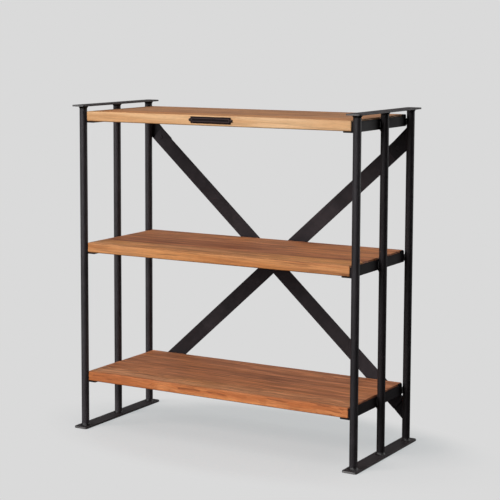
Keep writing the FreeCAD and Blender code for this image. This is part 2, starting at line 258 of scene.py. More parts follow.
def fillet_ring(part, centre, up, seed, start=0.0, sweep=360.0):
    """Rippled hollow-faced weld round a post, toe at centre's height."""
    steps = max(RING_STEPS // 4, int(RING_STEPS * sweep / 360))
    waves = round(math.radians(sweep) * (POST_R + RING_WIDTH / 2) / RIPPLE_PITCH)
    rings = []
    for k in range(steps + 1):
        turn = k / steps
        angle = math.radians(start + sweep * turn)
        uneven = noise.noise(Vector((2.2 * math.cos(angle), 2.2 * math.sin(angle), seed)))
        grow = 1 - 0.12 * (0.5 + 0.5 * uneven)
        ring = [Vector((POST_R - RING_BITE, 0))]
        for m in range(PROFILE_STEPS + 1):
            t = m / PROFILE_STEPS
            out = (1 - t) ** 2 + 2 * t * (1 - t) * RING_HOLLOW
            tall = t ** 2 + 2 * t * (1 - t) * RING_HOLLOW
            ripple = RIPPLE * math.sin(math.pi * t) * (0.5 + 0.5 * math.cos(
                2 * math.pi * waves * turn + 2.4 * math.sin(math.pi * t)))
            ring.append(Vector((POST_R + RING_WIDTH * grow * out - ripple, RING_HEIGHT * grow * tall)))
        sign = 1 if up else -1
        rings.append([Vector((centre.x + p.x * math.cos(angle), centre.y + p.x * math.sin(angle),
                              centre.z + sign * p.y)) for p in ring])
    if not up:
        rings = [list(reversed(ring)) for ring in rings]
    part.loft(rings, caps=sweep < 360)


def upright_bead(part, corners, z0, z1, seed):
    """Rippled bead up the line between two surfaces: root, leg side and post side as (x, y)."""
    root, leg_side, post_side = (Vector(c) for c in corners)
    steps = int((z1 - z0) / BEAD_STEP)
    turn = (leg_side - root).cross(post_side - root)
    rings = []
    for k in range(steps + 1):
        z = z0 + (z1 - z0) * k / steps
        end = min(k, steps - k) / (BEAD_TAPER / BEAD_STEP)
        taper = min(1.0, math.sqrt(max(end, 0.03)))
        ring = [Vector((root.x, root.y, z))]
        for m in range(PROFILE_STEPS):
            t = m / (PROFILE_STEPS - 1)
            point = leg_side.lerp(post_side, t)
            phase = 2 * math.pi * (z - z0) / RIPPLE_PITCH + 1.6 * math.sin(math.pi * t)
            ripple = BEAD_RIPPLE * math.sin(math.pi * t) * (0.5 + 0.5 * math.cos(phase))
            wobble = 0.06 * noise.noise(Vector((z * 260, seed, t)))
            reach = taper * (0.95 - abs(wobble)) - ripple / (point - root).length
            at = root + (point - root) * reach
            ring.append(Vector((at.x, at.y, z)))
        rings.append(ring if turn > 0 else list(reversed(ring)))
    part.loft(rings)


def round_bead(part, centre, radius, z0, z1, seed):
    """Rippled round bead up the end of a bracket."""
    steps = int((z1 - z0) / BEAD_STEP)
    count = 20
    rings = []
    for k in range(steps + 1):
        z = z0 + (z1 - z0) * k / steps
        end = min(k, steps - k) / END_BEAD_TAPER_STEPS
        taper = min(1.0, math.sqrt(max(end, 0.04)))
        ring = []
        for m in range(count):
            angle = 2 * math.pi * m / count
            phase = 2 * math.pi * (z - z0) / RIPPLE_PITCH + 1.4 * math.cos(angle)
            ripple = 0.06 * (0.5 + 0.5 * math.cos(phase))
            wobble = 0.05 * abs(noise.noise(Vector((z * 240, seed, math.cos(angle)))))
            r = radius * taper * (1 - ripple - wobble)
            ring.append(Vector((centre.x + r * math.cos(angle), centre.y + r * math.sin(angle), z)))
        rings.append(ring)
    part.loft(rings)


def post_axis(side, place):
    low, high = box_of(f"{side}_{place}_post")
    return (low + high) / 2, low, high


def build_plate_welds(side, material):
    for end in ("foot", "top"):
        part = Part()
        for k, place in enumerate(PLACES):
            axis, low, high = post_axis(side, place)
            z = low.z if end == "foot" else high.z
            fillet_ring(part, Vector((axis.x, axis.y, z)), end == "foot", 3.1 * k + SIDES[side])
        node = f"{side}_{end}_welds"
        add_piece(node + "_beads", part.verts, part.faces, material, "frame", [node], 60.0)


def build_bracket_welds(side, material):
    s = SIDES[side]
    part = Part()
    for k, level in enumerate(LEVELS):
        low, high = box_of(f"{side}_{level}_bracket")
        face_x = high.x if s > 0 else low.x
        underside = low.z
        leg_top = underside + ANGLE_LEG
        z0, z1 = underside + BEAD_MARGIN, leg_top - BEAD_MARGIN
        for place, sign in (("front", 1), ("middle", -1), ("middle", 1)):
            axis, _, _ = post_axis(side, place)
            corners = (
                (face_x - s * 0.3 * MM, axis.y + sign * 2 * MM),
                (face_x - s * 0.2 * MM, axis.y + sign * 10.5 * MM),
                (axis.x - s * POST_R / 2, axis.y + sign * 9.6 * MM),
            )
            upright_bead(part, corners, z0, z1, 5.3 * k + sign)
        end = Vector((face_x + s * 1.0 * MM, high.y + 1.5 * MM, 0))
        round_bead(part, end, END_BEAD_R, z0, z0 + ANGLE_LEG - 10 * MM, 2.7 * k)
        axis, _, _ = post_axis(side, "middle")
        inner = 180 if s > 0 else 0
        fillet_ring(part, Vector((axis.x, axis.y, underside)), False, 8.1 * k, inner - UNDER_BEAD_SWEEP / 2,
                    UNDER_BEAD_SWEEP)
    node = f"{side}_bracket_welds"
    add_piece(node + "_beads", part.verts, part.faces, material, "frame", [node], 60.0)


GUSSET_BEAD_LENGTH = 44.0 * MM
GUSSET_BEAD = {  # offsets towards the middle from the post's axis: root, toe, post side; then depth
    "falling": (3.0 * MM, 14.0 * MM, 11.2 * MM, 6.5 * MM),
    "rising": (5.0 * MM, 16.5 * MM, 12.6 * MM, 5.9 * MM),
}


def build_gusset_welds(side, material):
    s = SIDES[side]
    node = f"{side}_gusset_welds"
    low, high = box_of(node)
    axis, _, _ = post_axis(side, "rear")
    upper_bar = "falling" if side == "left" else "rising"
    lower_bar = "rising" if side == "left" else "falling"
    part = Part()
    for end, bar, z0 in (("upper", upper_bar, high.z - GUSSET_BEAD_LENGTH), ("lower", lower_bar, low.z)):
        face_y = box_of(f"{end}_{side}_gusset")[0].y
        root, toe, post_side, depth = GUSSET_BEAD[bar]
        corners = ((axis.x - s * root, face_y), (axis.x - s * toe, face_y),
                   (axis.x - s * post_side, face_y - depth))
        upright_bead(part, corners, z0, z0 + GUSSET_BEAD_LENGTH, 4.4 + s)
    add_piece(node + "_beads", part.verts, part.faces, material, "frame", [node], 60.0)


# ---------------------------------------------------------------- bolts

HEAD_R = 7.0 * MM
HEAD_RIM = 0.8 * MM
SOCKET_AF = 5.0 * MM
SOCKET_DEPTH = 2.0 * MM
NUT_AF = 13.0 * MM
THREAD_R = 4.0 * MM
THREAD_PITCH = 1.25 * MM
THREAD_POINTS = 32
ROUND_POINTS = 48
DOME_STEP = math.radians(12)
DOME_STEPS = 6


def hex_radius(angle, across_flats):
    """Distance from a hexagon's centre to its edge; a corner lies on angle zero."""
    turn = (angle % math.radians(60)) - math.radians(30)
    return across_flats / 2 / math.cos(turn)


def ring_y(centre, reach):
    """Ring about a line along Y; reach gives the radius and the y for an angle."""
    ring = []
    for k in range(ROUND_POINTS):
        angle = 2 * math.pi * k / ROUND_POINTS
        r, y = reach(angle)
        ring.append(Vector((centre.x + r * math.cos(angle), y, centre.z + r * math.sin(angle))))
    return ring


def button_head(part, centre, y_flat, height):
    """Low domed head that faces -Y, with a hexagon socket."""
    y_rim = y_flat - HEAD_RIM
    crown = height - HEAD_RIM
    rings = [ring_y(centre, lambda a: (HEAD_R - 0.15 * MM, y_flat)),
             ring_y(centre, lambda a: (HEAD_R, y_flat - 0.2 * MM)),
             ring_y(centre, lambda a: (HEAD_R, y_rim))]
    for step in range(1, DOME_STEPS + 1):
        r = HEAD_R * math.cos(DOME_STEP * step)
        y = y_rim - crown * math.sin(DOME_STEP * step)
        rings.append(ring_y(centre, lambda a, r=r, y=y: (max(r, hex_radius(a, SOCKET_AF) + 0.1 * MM), y)))
    lip = y_rim - crown * math.sin(DOME_STEP * DOME_STEPS)
    rings.append(ring_y(centre, lambda a: (hex_radius(a, SOCKET_AF), lip + 0.1 * MM)))
    rings.append(ring_y(centre, lambda a: (0.96 * hex_radius(a, SOCKET_AF), lip + SOCKET_DEPTH)))
    part.loft(rings)


def hex_nut(part, centre, y_flat, y_free):
    """Hexagon nut that faces +Y, with the usual 30-degree chamfer."""
    circle = 0.47 * NUT_AF

    def chamfer(angle):
        r = hex_radius(angle, NUT_AF)
        return r, y_free - (r - circle) * math.tan(math.radians(30))

    rings = [
        ring_y(centre, lambda a: (hex_radius(a, NUT_AF), y_flat)),
        ring_y(centre, chamfer),
        ring_y(centre, lambda a: (circle, y_free)),
        ring_y(centre, lambda a: (0.6 * circle, y_free - 0.12 * MM)),
    ]
    part.loft([list(reversed(ring)) for ring in rings])


def threaded_end(part, centre, y0, y1):
    """Turned thread with a small chamfer at its free end."""
    profile = [(y0, THREAD_R)]
    y = y0
    while y + THREAD_PITCH < y1 - 0.5 * MM:
        profile.append((y + THREAD_PITCH * 0.5, THREAD_R * 0.9))
        profile.append((y + THREAD_PITCH, THREAD_R))
        y += THREAD_PITCH
    profile.append((y1 - 0.4 * MM, THREAD_R * 0.94))
    profile.append((y1, THREAD_R * 0.82))
    rings = []
    for along, r in profile:
        rings.append([Vector((centre.x + r * math.cos(a), along, centre.z + r * math.sin(a)))
                      for a in (-2 * math.pi * k / THREAD_POINTS for k in range(THREAD_POINTS))])
    part.loft(rings)


def build_bolts(material):
    """Button-head bolts through the brace's two layers, with their nuts behind."""
    low, high = box_of("brace_bolts")
    front = box_of("falling_brace_bar")[0].y
    back = box_of("rising_brace_bar")[1].y
    nut_end = box_of("brace_nuts")[1].y
    reach_x = high.x - HEAD_R
    z_high, z_low = high.z - HEAD_R, low.z + HEAD_R
    bolts, nuts = Part(), Part()
    for x, z in ((-reach_x, z_high), (reach_x, z_low), (-reach_x, z_low), (reach_x, z_high),
                 (0.0, (z_low + z_high) / 2)):
        centre = Vector((x, 0, z))
        button_head(bolts, centre, front, front - low.y)
        threaded_end(bolts, centre, (back + nut_end) / 2, high.y)
        hex_nut(nuts, centre, back, nut_end)
    for name, part, node in (("brace_bolts_turned", bolts, "brace_bolts"),
                             ("brace_nuts_turned", nuts, "brace_nuts")):
        add_piece(name, part.verts, part.faces, material, "frame", [node], 25.0)


# ---------------------------------------------------------------- nameplate

LUG_R = 4.8 * MM
LUG_REACH = 6.5 * MM
PIN_HEAD_R = 2.6 * MM
PIN_HEAD_HEIGHT = 1.2 * MM
CAST_RELIEF = (  # inset from the outline and depth from the front, in mm
    (0.0, 3.2), (0.0, 1.5), (0.3, 1.1), (0.9, 0.9), (2.2, 0.82), (3.6, 0.84), (4.1, 0.7), (4.7, 0.3),
    (5.3, 0.06), (5.9, 0.0), (6.5, 0.06), (7.1, 0.3), (7.6, 0.6), (8.2, 0.68), (9.4, 0.7), (10.2, 0.7),
)


def rounded_rectangle(centre, half_x, half_z, radius, y):
    """Closed ring in a plane of constant y, running the way that faces -Y."""
    ring = []
    radius = min(radius, half_x, half_z)
    for quarter, (sx, sz) in enumerate(((1, 1), (-1, 1), (-1, -1), (1, -1))):
        for k in range(6):
            angle = math.radians(90 * quarter + 18 * k)
            ring.append(Vector((centre.x + sx * (half_x - radius) + radius * math.cos(angle), y,
                                centre.z + sz * (half_z - radius) + radius * math.sin(angle))))
    return ring


def lathe_y(part, centre, profile, count=36):
    """Solid of revolution about a line along Y from (y, radius) pairs, back to front."""
    rings = []
    for y, r in profile:
        rings.append([Vector((centre.x + r * math.cos(a), y, centre.z + r * math.sin(a)))
                      for a in (2 * math.pi * k / count for k in range(count))])
    part.loft(rings)


def build_nameplate(material, pin_material):
    low, high = box_of("nameplate")
    centre = (low + high) / 2
    front, back = low.y, high.y
    half_x = (high.x - low.x) / 2 - LUG_REACH
    half_z = (high.z - low.z) / 2
    part = Part()
    rings = [rounded_rectangle(centre, half_x - inset * MM, half_z - inset * MM,
                               max(1.6 - 0.1 * inset, 0.5) * MM, front + depth * MM)
             for inset, depth in CAST_RELIEF]
    part.loft(rings)
    pins = Part()
    for sign in (-1, 1):
        lug = Vector((centre.x + sign * (half_x + LUG_REACH - LUG_R), 0, centre.z))
        lathe_y(part, lug, (
            (back, LUG_R),
            (front + 0.9 * MM, LUG_R),
            (front + 0.35 * MM, LUG_R - 0.3 * MM),
            (front + 0.02 * MM, LUG_R - 0.9 * MM),
            (front + 0.02 * MM, PIN_HEAD_R - 1 * MM),
        ))
        dome = [(front + 0.3 * MM, PIN_HEAD_R)]
        for degrees in (0, 18, 36, 54, 72, 86):
            angle = math.radians(degrees)
            proud = PIN_HEAD_HEIGHT * math.sin(angle)
            dome.append((front - proud, PIN_HEAD_R * math.cos(angle) + 0.02 * MM))
        lathe_y(pins, lug, dome)
    add_piece("nameplate_cast", part.verts, part.faces, material, "top_shelf", ["nameplate"],
              50.0)
    add_piece("nameplate_pins_domed", pins.verts, pins.faces, pin_material, "top_shelf", ["nameplate_pins"],
              50.0)


# ---------------------------------------------------------------- materials

class Shader:
    """Adds and links the nodes of one material."""

    def __init__(self, name):
        self.material = bpy.data.materials.new(name)
        self.material.use_nodes = True
        self.tree = self.material.node_tree
        self.surface = self.tree.nodes["Principled BSDF"]
        self.coords = self.tree.nodes.new("ShaderNodeTexCoord")

    def add(self, kind, values=(), **settings):
        node = self.tree.nodes.new(kind)
        for key, value in settings.items():
            setattr(node, key, value)
        for socket, value in dict(values).items():
            self.feed(node.inputs[socket], value)
        return node

    def feed(self, socket, value):
        if isinstance(value, bpy.types.NodeSocket):
            self.tree.links.new(value, socket)
        else:
            socket.default_value = value

    def math(self, operation, a, b=0.0, clamp=False):
        node = self.add("ShaderNodeMath", {0: a, 1: b}, operation=operation)
        node.use_clamp = clamp
        return node.outputs[0]

    def vector(self, operation, a, b):
        return self.add("ShaderNodeVectorMath", {0: a, 1: b}, operation=operation).outputs[0]

    def length(self, vector):
        return self.add("ShaderNodeVectorMath", {0: vector}, operation="LENGTH").outputs["Value"]

    def step(self, value, start, end, low, high):
        """Smooth step from low at start to high at end."""
        return self.add("ShaderNodeMapRange", {0: value, 1: start, 2: end, 3: low, 4: high},
                        interpolation_type="SMOOTHSTEP").outputs[0]

    def split(self, vector):
        return self.add("ShaderNodeSeparateXYZ", {"Vector": vector}).outputs

    def place(self, scale, location=(0, 0, 0), vector=None):
        vector = vector or self.coords.outputs["Object"]
        node = self.add("ShaderNodeMapping", {"Vector": vector, "Scale": scale, "Location": location})
        return node.outputs["Vector"]

    def noise(self, vector, scale=1.0, detail=3.0, roughness=0.5, distortion=0.0):
        node = self.add("ShaderNodeTexNoise", {"Vector": vector, "Scale": scale, "Detail": detail,
                                               "Roughness": roughness, "Distortion": distortion})
        return node.outputs

    def ramp(self, value, stops):
        """Grey or colour ramp from (position, colour) stops."""
        node = self.add("ShaderNodeValToRGB", {"Fac": value})
        elements = node.color_ramp.elements
        while len(elements) < len(stops):
            elements.new(0.5)
        for element, (position, colour) in zip(elements, stops):
            element.position = position
            grey = colour if isinstance(colour, tuple) else (colour, colour, colour)
            element.color = (*grey, 1.0)
        return node.outputs["Color"]

    def mix(self, factor, a, b, blend="MIX"):
        node = self.tree.nodes.new("ShaderNodeMix")
        node.data_type = "RGBA"
        node.blend_type = blend
        self.feed(node.inputs["Factor"], factor)
        for socket, value in ((node.inputs[6], a), (node.inputs[7], b)):
            self.feed(socket, (*value, 1.0) if isinstance(value, tuple) and len(value) == 3 else value)
        return node.outputs[2]

    def bump(self, height, strength, distance, normal=None):
        values = {"Height": height, "Strength": strength, "Distance": distance}
        if normal is not None:
            values["Normal"] = normal
        return self.add("ShaderNodeBump", values).outputs["Normal"]

    def finish(self, **inputs):
        for name, value in inputs.items():
            self.feed(self.surface.inputs[name.replace("_", " ")], value)
        return self.material


GRAIN_LEAN = 0.02  # rise of the grain along a board
GLOW_AMOUNT = 0.5
UNDER_EDGE_SHADE = (0.6 * MM, 3.6 * MM)  # heights over a board's underside between which the painted shade on its lower edge fades
TOP_EDGE_DARKENING = (3.2 * MM, 0.8 * MM)  # depths under its top between which the front and back faces darken in patches


def log_flow(sh, tone):
    """Coordinates that wander with the grain, measured from the log's heart."""
    seed = tone["seed"]
    pith_y, pith_z = tone["pith"]
    slow = sh.noise(sh.place((1.1, 7.0, 7.0), (seed, 2.3 * seed, 0.7 * seed)), 1.0, 2.0, 0.45)["Color"]
    short = sh.noise(sh.place((12.0, 14.0, 14.0), (seed, seed, 0.0)), 1.0, 2.0, 0.5)["Color"]
    flow = sh.vector("ADD", sh.coords.outputs["Object"], (0, -pith_y, -pith_z))
    for wander_noise, reach in ((slow, tone["warp"]), (short, tone["wave"])):
        centred = sh.vector("SUBTRACT", wander_noise, (0.5, 0.5, 0.5))
        flow = sh.vector("ADD", flow, sh.vector("MULTIPLY", centred, (0, reach, 0.45 * reach)))
    along = sh.split(sh.coords.outputs["Object"])["X"]
    rise = sh.add("ShaderNodeCombineXYZ", {"Y": sh.math("MULTIPLY", along, 0.5 * GRAIN_LEAN),
                                           "Z": sh.math("MULTIPLY", along, GRAIN_LEAN)}).outputs[0]
    return sh.vector("ADD", flow, rise)


def growth_rings(sh, flow, tone):
    """Late wood from 0 to 1 across each ring, and the dark hearts of any knots."""
    seed = tone["seed"]
    radius = sh.length(sh.vector("MULTIPLY", flow, (0, 1, 1)))
    hearts = 0.0
    for knot_x, knot_y, size in tone["knots"]:
        gap = sh.vector("SUBTRACT", sh.coords.outputs["Object"], (knot_x, knot_y, 0))
        far = sh.length(sh.vector("MULTIPLY", gap, (0.4, 1, 0)))
        near = sh.math("POWER", sh.math("DIVIDE", far, size), 2.0)
        bell = sh.math("EXPONENT", sh.math("MULTIPLY", near, -1.0))
        radius = sh.math("ADD", radius, sh.math("MULTIPLY", bell, 1.6 * size))
        hearts = sh.math("ADD", sh.math("EXPONENT", sh.math("MULTIPLY", near, -14.0)), hearts, clamp=True)
    waver = sh.noise(sh.place((5, 60, 60), (seed, 0, seed)), 1.0, 2.0, 0.5)["Fac"]
    count = sh.math("ADD", sh.math("DIVIDE", radius, tone["ring"]), sh.math("MULTIPLY", waver, 0.8))
    late = sh.ramp(sh.math("FRACT", count),
                   ((0.0, 0.35), (0.08, 0.0), (0.45, 0.08), (0.82, 0.75), (0.94, 1.0), (1.0, 0.4)))
    strength = sh.noise(sh.place((2.2, 22, 22), (3 * seed, seed, 0)), 1.0, 2.0)["Fac"]
    return sh.math("MULTIPLY", late, sh.ramp(strength, ((0.3, 0.3), (0.7, 1.0)))), hearts


def wood_material(name, tone, bottom, top):
    """Oiled wood cut from a log that lies along X, so tops, faces and end grain agree."""
    sh = Shader(name)
    seed, light, dark = tone["seed"], tone["light"], tone["dark"]
    flow = log_flow(sh, tone)
    late, hearts = growth_rings(sh, flow, tone)
    stripe = sh.noise(sh.place((2.0, 44, 44), (seed, 0, 4 * seed), flow), 1.0, 3.0, 0.5)["Fac"]
    fleck = sh.noise(sh.place((9, 170, 170), (seed, 2 * seed, 0), flow), 1.0, 3.0, 0.6)["Fac"]
    line = sh.noise(sh.place((5, 170, 170), (0, seed, 3 * seed), flow), 1.0, 2.0, 0.5)["Fac"]
    fibre = sh.noise(sh.place((22, 900, 900), (seed, seed, seed)), 1.0, 4.0, 0.6)["Fac"]
    blotch = sh.noise(sh.place((2.6, 9, 9), (5 * seed, 0, 0)), 1.0, 3.0, 0.5)["Fac"]
    pores = sh.ramp(sh.noise(sh.place((55, 1700, 1700), (0, seed, 0)), 1.0, 2.0, 0.5)["Fac"],
                    ((0.56, 0.0), (0.68, 1.0)))

    normal = sh.split(sh.coords.outputs["Normal"])
    topside = sh.ramp(normal["Z"], ((0.93, 0.0), (0.99, 1.0)))
    flat_sawn = sh.math("ADD", sh.math("MULTIPLY", topside, 0.75), 0.25)

    colour = sh.mix(sh.ramp(stripe, ((0.38, 0.0), (0.6, 1.0))), light, tone["accent"])
    ring_line = sh.math("MULTIPLY", sh.math("MULTIPLY", late, flat_sawn), tone["contrast"])
    colour = sh.mix(ring_line, colour, dark)
    colour = sh.mix(sh.ramp(blotch, ((0.45, 0.0), (0.7, GLOW_AMOUNT))), colour, tone["glow"])
    showing = sh.math("MULTIPLY", sh.math("ADD", sh.math("MULTIPLY", topside, 0.45), 0.55), tone["figure"])
    colour = sh.mix(showing, colour, sh.ramp(fleck, ((0.28, 0.5), (0.5, 1.0), (0.72, 1.35))), "MULTIPLY")
    colour = sh.mix(sh.math("MULTIPLY", sh.ramp(line, ((0.6, 0.0), (0.68, 1.0))), tone["lines"]), colour,
                    tuple(0.55 * c for c in dark))
    colour = sh.mix(0.3, colour, sh.ramp(fibre, ((0.25, 0.6), (0.55, 1.0), (0.8, 1.15))), "MULTIPLY")
    colour = sh.mix(sh.math("MULTIPLY", pores, 0.3), colour, tuple(0.45 * c for c in dark))
    if tone["knots"]:
        colour = sh.mix(sh.math("MULTIPLY", hearts, 0.8), colour, tuple(0.4 * c for c in dark))
    to_right = sh.math("ADD", sh.split(sh.coords.outputs["Object"])["X"], 0.5, clamp=True)
    colour = sh.mix(to_right, colour, tone["drift"], "MULTIPLY")

    end_grain = sh.ramp(sh.math("ABSOLUTE", normal["X"]), ((0.55, 0.0), (0.8, 1.0)))
    colour = sh.mix(sh.math("MULTIPLY", end_grain, 0.45), colour, tuple(0.5 * c for c in dark))
    # Painted light and sheen: the top factor sets how light and grey the upper faces look, standing in for
    # how they are lit.
    colour = sh.mix(topside, colour, tone["top"], "MULTIPLY")
    height = sh.split(sh.coords.outputs["Object"])["Z"]
    upright = sh.ramp(sh.math("ABSOLUTE", normal["Y"]), ((0.25, 0.0), (0.5, 1.0)))
    # Painted shade: the front and back faces darken just above the underside, standing in for the shadow
    # along the eased lower edge.
    painted_under_shade = sh.step(height, bottom + UNDER_EDGE_SHADE[0], bottom + UNDER_EDGE_SHADE[1], 0.9, 0.0)
    colour = sh.mix(sh.math("MULTIPLY", painted_under_shade, upright), colour, tuple(0.3 * c for c in dark))
    # The front and back faces darken in patches just under the top edge.
    top_edge_dark = sh.math("MULTIPLY", sh.step(height, top - TOP_EDGE_DARKENING[0], top - TOP_EDGE_DARKENING[1], 0.0, 0.8), upright)
    top_edge_dark = sh.math("MULTIPLY", top_edge_dark, sh.ramp(blotch, ((0.42, 0.1), (0.58, 1.0))))
    colour = sh.mix(top_edge_dark, colour, tuple(0.5 * c for c in dark))

    rough = sh.ramp(sh.math("ADD", sh.math("MULTIPLY", fibre, 0.6), sh.math("MULTIPLY", late, 0.3)),
                    ((0.2, 0.5), (0.8, 0.66)))
    bump = sh.bump(late, 0.25, 0.0004)
    bump = sh.bump(fleck, 0.2, 0.0004, bump)
    bump = sh.bump(fibre, 0.35, 0.0003, bump)
    bump = sh.bump(pores, -0.4, 0.0003, bump)
    return sh.finish(Base_Color=colour, Roughness=rough, Normal=bump, Specular_IOR_Level=0.22)


# Colour of the painted highlight on the plates' front end edges.
EDGE_HIGHLIGHT_STEEL = (0.17, 0.165, 0.165)
DRAWN_UP = (90, 90, 3)  # noise scales: marks run along the stock, or go every way
ROLLED_BACK = (60, 4, 60)
PLAIN_ROLLED = (40, 40, 40)
STEELS = {  # colour, rubbed colour, scale of the marks, roughness range, specular level
    "left_post_steel": ((0.035, 0.0305, 0.034), (0.046, 0.038, 0.039), DRAWN_UP, (0.4, 0.56), 0.24),
    # The right posts take darker copies of the post steel as painted shade.
    "right_front_post_shaded_steel": ((0.0205, 0.0178, 0.0202), (0.030, 0.024, 0.025), DRAWN_UP, (0.42, 0.58), 0.2),
    "right_inner_post_shaded_steel": ((0.0105, 0.0085, 0.0095), (0.018, 0.014, 0.015), DRAWN_UP, (0.44, 0.6), 0.13),
    "plate_steel": ((0.036, 0.030, 0.032), (0.048, 0.039, 0.039), ROLLED_BACK, (0.46, 0.62), 0.2),
    # Brackets and gussets take this much darker steel as painted shade.
    "bracket_shaded_steel": ((0.0085, 0.0068, 0.008), (0.015, 0.011, 0.012), ROLLED_BACK, (0.5, 0.66), 0.08),
    "bar_steel": ((0.0305, 0.0262, 0.029), (0.041, 0.033, 0.034), PLAIN_ROLLED, (0.55, 0.72), 0.05),
    "weld_steel": ((0.008, 0.0066, 0.0072), (0.02, 0.013, 0.012), (80, 80, 80), (0.38, 0.55), 0.3),
    "bolt_steel": ((0.033, 0.029, 0.032), (0.042, 0.034, 0.036), (120, 120, 120), (0.5, 0.7), 0.06),
    "pin_steel": ((0.011, 0.006, 0.0065), (0.025, 0.015, 0.015), (200, 200, 200), (0.42, 0.55), 0.15),
}


def named_steel(name, highlit_end=None):
    return steel_material(name, *STEELS[name], highlit_end)


def steel_material(name, base, warm, grain_scale, rough, specular, highlit_end=None):
    """Blackened steel: mottled scale, drawing marks along the stock and a little warm wear.

    The last argument is the y of a front end whose edge gets a patchy painted highlight.
    """
    sh = Shader(name)
    cloud = sh.noise(sh.place((9, 9, 9)), 1.0, 5.0, 0.6, 0.4)["Fac"]
    marks = sh.noise(sh.place(grain_scale), 1.0, 3.0, 0.55)["Fac"]
    speck = sh.noise(sh.place((420, 420, 420)), 1.0, 2.0, 0.6)["Fac"]
    rubbed = sh.noise(sh.place((34, 34, 20), (3, 1, 2)), 1.0, 6.0, 0.7)["Fac"]
    rub = sh.ramp(rubbed, ((0.56, 0.0), (0.72, 1.0)))
    colour = sh.mix(sh.ramp(cloud, ((0.3, 0.0), (0.7, 1.0))), tuple(0.72 * c for c in base),
                    tuple(1.25 * c for c in base))
    colour = sh.mix(sh.math("MULTIPLY", rub, 0.5), colour, warm)
    colour = sh.mix(0.5, colour, sh.ramp(marks, ((0.3, 0.7), (0.7, 1.25))), "MULTIPLY")
    # Painted highlight: a patchy light band along a front end edge stands in for the light that edge
    # catches.
    if highlit_end is not None:
        depth = sh.split(sh.coords.outputs["Object"])["Y"]
        worn = sh.step(depth, highlit_end + 0.8 * MM, highlit_end + 3.0 * MM, 0.85, 0.0)
        patchy_highlight = sh.math("MULTIPLY", worn, sh.ramp(cloud, ((0.3, 0.55), (0.6, 1.0))))
        colour = sh.mix(patchy_highlight, colour, EDGE_HIGHLIGHT_STEEL)
    low, high = rough
    roughness = sh.ramp(sh.math("ADD", sh.math("MULTIPLY", cloud, 0.5), sh.math("MULTIPLY", marks, 0.5)),
                        ((0.35, low), (0.68, high)))
    bump = sh.bump(marks, 0.12, 0.0004)
    bump = sh.bump(speck, 0.22, 0.00025, bump)
    return sh.finish(Base_Color=colour, Roughness=roughness, Normal=bump, Metallic=0.0,
                     Specular_IOR_Level=specular)


def cast_material(front):
    """Blackened cast iron, lighter where it stands proud: rubbed metal with a painted highlight on the
    raised bead.
    """
    sh = Shader("nameplate_iron")
    blotch = sh.noise(sh.place((90, 90, 90)), 1.0, 3.0, 0.6)["Fac"]
    grit = sh.noise(sh.place((900, 900, 900)), 1.0, 3.0, 0.6)["Fac"]
    colour = sh.mix(sh.ramp(blotch, ((0.35, 0.0), (0.7, 1.0))), (0.0065, 0.0030, 0.0034),
                    (0.013, 0.0062, 0.0062))
    depth = sh.split(sh.coords.outputs["Object"])["Y"]
    # Lighter on the proud bead: partly rubbed metal, partly a painted highlight standing in for the light
    # its raised edges catch.
    rubbed = sh.step(depth, front + 0.05 * MM, front + 0.5 * MM, 1.0, 0.0)
    colour = sh.mix(rubbed, colour, (0.060, 0.040, 0.040))
    rough = sh.ramp(grit, ((0.3, 0.5), (0.7, 0.66)))
    bump = sh.bump(grit, 0.35, 0.0003)
    bump = sh.bump(blotch, 0.3, 0.0006, bump)
    return sh.finish(Base_Color=colour, Roughness=rough, Normal=bump, Metallic=0.0, Specular_IOR_Level=0.08)


def tone(light, dark, accent, glow, top, ring, pith, seed, warp=0.05, wave=0.004, contrast=0.8, figure=1.0,
         lines=0.6, drift=(1.0, 1.0, 1.0), knots=()):
    """Colours, growth rings and figure of one stave.

    top sets how light and grey the upper face looks, as painted light and sheen, and drift tints the right
    end. pith is the heart of the log as (y, z), and a knot is (x, y, size).
    """
    return {"light": light, "dark": dark, "accent": accent, "glow": glow, "top": top, "ring": ring,
            "pith": pith, "seed": seed, "warp": warp, "wave": wave, "contrast": contrast, "figure": figure,
            "lines": lines, "drift": drift, "knots": knots}


# Each palette's top sets how light and grey the upper faces look, as painted light and sheen.
HONEY = dict(light=(0.92, 0.55, 0.27), dark=(0.60, 0.28, 0.115), accent=(0.77, 0.40, 0.17),
             glow=(0.86, 0.44, 0.17), top=(0.77, 0.585, 0.468), drift=(1.0, 1.10, 1.28), contrast=0.45,
             figure=0.5, lines=0.3)
HONEY_BROWN = dict(light=(0.68, 0.40, 0.21), dark=(0.36, 0.18, 0.09), accent=(0.44, 0.23, 0.11),
                   glow=(0.60, 0.30, 0.12), top=(0.957, 0.834, 0.80))
AMBER = dict(light=(0.67, 0.295, 0.112), dark=(0.36, 0.125, 0.04), accent=(0.48, 0.17, 0.053),
             glow=(0.78, 0.31, 0.08), top=(1.36, 1.52, 1.85))
CHESTNUT = dict(light=(0.56, 0.235, 0.105), dark=(0.22, 0.075, 0.04), accent=(0.33, 0.115, 0.05),
                glow=(0.54, 0.20, 0.075), top=(1.35, 1.30, 1.29))
RUSSET = dict(light=(0.62, 0.26, 0.12), dark=(0.27, 0.095, 0.045), accent=(0.37, 0.13, 0.06),
              glow=(0.60, 0.23, 0.08), top=(1.37, 1.37, 1.30))
COPPER = dict(light=(0.77, 0.29, 0.10), dark=(0.32, 0.09, 0.03), accent=(0.53, 0.16, 0.046),
              glow=(0.76, 0.27, 0.065), top=(1.24, 1.57, 2.23))
BRICK = dict(light=(0.61, 0.24, 0.108), dark=(0.25, 0.08, 0.036), accent=(0.36, 0.12, 0.05),
             glow=(0.60, 0.21, 0.07), top=(1.31, 1.36, 1.42))

